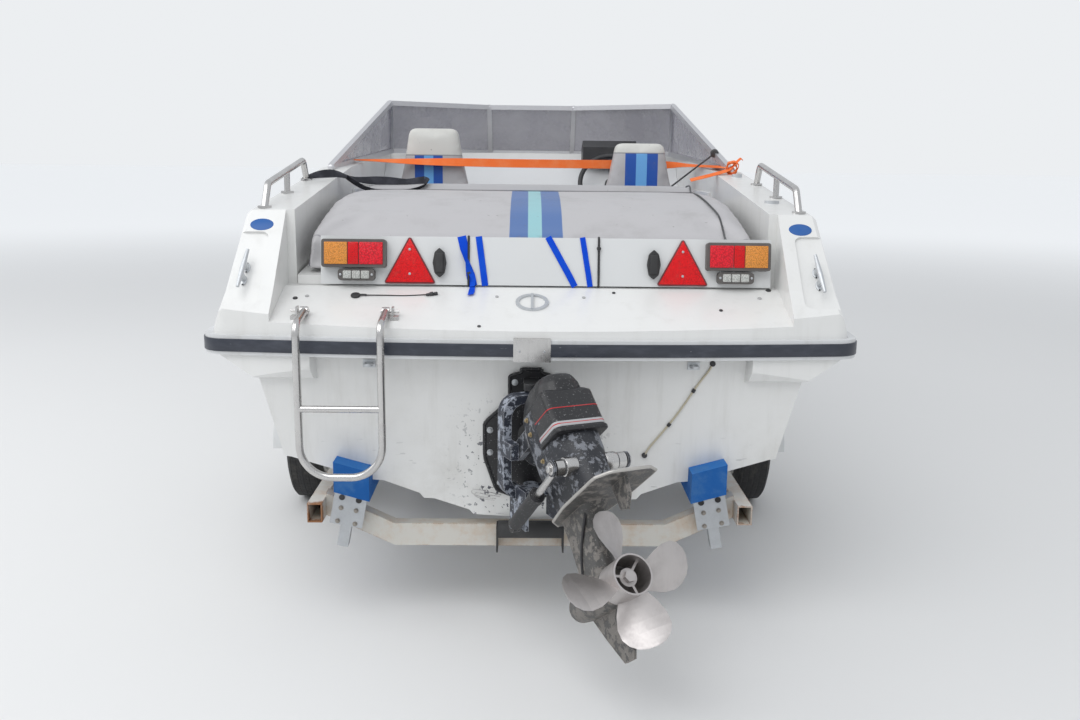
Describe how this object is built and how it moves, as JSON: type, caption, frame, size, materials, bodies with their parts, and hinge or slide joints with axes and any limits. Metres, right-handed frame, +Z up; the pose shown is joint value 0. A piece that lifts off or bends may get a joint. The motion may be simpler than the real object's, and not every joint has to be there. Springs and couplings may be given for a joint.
{
  "type": "sterndrive speedboat on a single-axle trailer",
  "caption": "Open sports boat with a closed foredeck, windscreen, sunbed hatch and a tilted sterndrive, standing on its road trailer.",
  "frame": {"origin": "on the ground, below the middle of the whole outline", "axes": "+X to starboard, +Y to the bow, +Z up"},
  "size_m": [2.26, 7.638, 1.8961],
  "materials": {
    "hull": "white gelcoat with dirt and scuffs",
    "gelcoat": "white gelcoat",
    "rail": "black insert in a white carrier",
    "stainless": "polished stainless steel",
    "cast_alloy": "satin cast alloy",
    "lining": "moulded lining",
    "engine_paint": "black engine block",
    "grey_vinyl": "grey marine vinyl with blue stripes",
    "white_board": "white board",
    "lamp_lens": "moulded lamp lenses",
    "red_reflector": "red reflector",
    "moulding": "white moulding",
    "black_plastic": "black moulding",
    "anodised": "anodised aluminium",
    "tinted_glass": "hazed smoked screen",
    "black_paint": "black paint",
    "rubber": "black rubber",
    "drive_paint": "worn black paint on aluminium",
    "ram_paint": "black paint",
    "polished_steel": "ground stainless steel",
    "trailer_paint": "white paint with rust",
    "blue_carpet": "blue carpet",
    "zinc": "zinc plate",
    "guard_plastic": "white plastic, gone pale",
    "rim_paint": "white wheel paint",
    "tyre": "worn tyre"
  },
  "bodies": {
    "hatch": {"hatch_lid": "gelcoat", "sunbed_pad": "grey_vinyl", "sunbed_bolster": "grey_vinyl", "light_board": "white_board", "rear_lamps": "lamp_lens", "warning_triangles": "red_reflector"},
    "ladder": {"boarding_ladder": "stainless"},
    "helm_wheel": {"steering_wheel": "black_plastic"},
    "gimbal": {"gimbal_ring": "drive_paint"},
    "trim_barrels": {"trim_cylinders": "ram_paint"},
    "trim_pistons": {"trim_rods": "polished_steel"},
    "outdrive": {"drive_upper": "drive_paint", "drive_cover": "black_paint", "drive_lower": "drive_paint"},
    "screw": {"propeller": "polished_steel"},
    "wheel_port": {"rim_port": "rim_paint", "tyre_port": "tyre"},
    "wheel_starboard": {"rim_starboard": "rim_paint", "tyre_starboard": "tyre"},
    "jockey_post": {"jockey_stem": "zinc"},
    "jockey_caster": {"jockey_fork": "zinc"},
    "jockey_roller": {"jockey_wheel": "rubber"},
    "boat": {"hull": "hull", "transom_pods": "hull", "deck": "gelcoat", "dashboard": "gelcoat", "rub_rail": "rail", "rail_sleeve": "stainless", "grab_handles": "stainless", "ladder_brackets": "stainless", "deck_fittings": "stainless", "cleats": "cast_alloy", "cockpit_sole": "lining", "side_linings": "lining", "engine": "engine_paint", "seat_cushions": "grey_vinyl", "seat_backs": "grey_vinyl", "seat_bases": "moulding", "helm_console": "black_plastic", "windscreen_frame": "anodised", "windscreen_glass": "tinted_glass", "transom_shield": "black_paint", "drive_bellows": "rubber", "keel_rollers": "rubber", "trailer_rails": "trailer_paint", "trailer_cross_members": "trailer_paint", "trailer_drawbar": "trailer_paint", "trailer_a_frame": "trailer_paint", "axle": "trailer_paint", "bunk_pads": "blue_carpet", "bunk_brackets": "zinc", "winch_post": "zinc", "winch": "zinc", "coupling": "zinc", "jockey_tube": "zinc", "mudguards": "guard_plastic"}
  },
  "joints": [
    {"name": "trailer_wheel_port", "type": "hinge", "parent": "boat", "child": "wheel_port", "pos_m": [-1.02, -1.65203, 0.285], "axis": [1, 0, 0], "continuous": true},
    {"name": "trailer_wheel_starboard", "type": "hinge", "parent": "boat", "child": "wheel_starboard", "pos_m": [1.02, -1.65203, 0.285], "axis": [1, 0, 0], "continuous": true},
    {"name": "jockey_raise", "type": "slide", "parent": "boat", "child": "jockey_post", "axis": [0, 0, 1], "range_m": [-0.12, 0.055]},
    {"name": "jockey_swivel", "type": "hinge", "parent": "jockey_post", "child": "jockey_caster", "pos_m": [0.098, 3.22797, 0.221], "axis": [0, 0, 1], "continuous": true},
    {"name": "jockey_spin", "type": "hinge", "parent": "jockey_caster", "child": "jockey_roller", "pos_m": [0.098, 3.19797, 0.1], "axis": [1, 0, 0], "continuous": true},
    {"name": "drive_steer", "type": "hinge", "parent": "boat", "child": "gimbal", "pos_m": [0, -3.10203, 0.68], "axis": [0, 0, 1], "range_deg": [-52, 4]},
    {"name": "drive_tilt", "type": "hinge", "parent": "gimbal", "child": "outdrive", "pos_m": [0.03254, -3.17511, 0.68], "axis": [-0.9135, -0.4067, 0], "range_deg": [-42, 12]},
    {"name": "trim_swing", "type": "hinge", "parent": "gimbal", "child": "trim_barrels", "pos_m": [0.04067, -3.19338, 0.44], "axis": [-0.9135, -0.4067, 0], "range_deg": [-31, 9]},
    {"name": "trim_stroke", "type": "slide", "parent": "trim_barrels", "child": "trim_pistons", "axis": [0.3021, -0.6785, 0.6696], "range_m": [-0.156, 0.045]},
    {"name": "propeller_spin", "type": "hinge", "parent": "outdrive", "child": "screw", "pos_m": [0.24224, -3.64611, 0.42292], "axis": [0.3205, -0.7199, 0.6157], "continuous": true},
    {"name": "helm_turn", "type": "hinge", "parent": "boat", "child": "helm_wheel", "pos_m": [0.44, -0.66203, 1.455], "axis": [0, -0.8829, 0.4695], "range_deg": [-990, 90]},
    {"name": "ladder_swing", "type": "hinge", "parent": "boat", "child": "ladder", "pos_m": [-0.6135, -2.99703, 1.087], "axis": [-1, 0, 0], "range_deg": [0, 160]},
    {"name": "hatch_lift", "type": "hinge", "parent": "boat", "child": "hatch", "pos_m": [0, -1.66603, 1.288], "axis": [-1, 0, 0], "range_deg": [0, 60]}
  ],
  "couplings": [
    {"joint": "trim_swing", "follows": "drive_tilt", "ratio": 0.725},
    {"joint": "trim_stroke", "follows": "drive_tilt", "m_per_rad": 0.21199},
    {"joint": "helm_turn", "follows": "drive_steer", "ratio": 18}
  ]
}
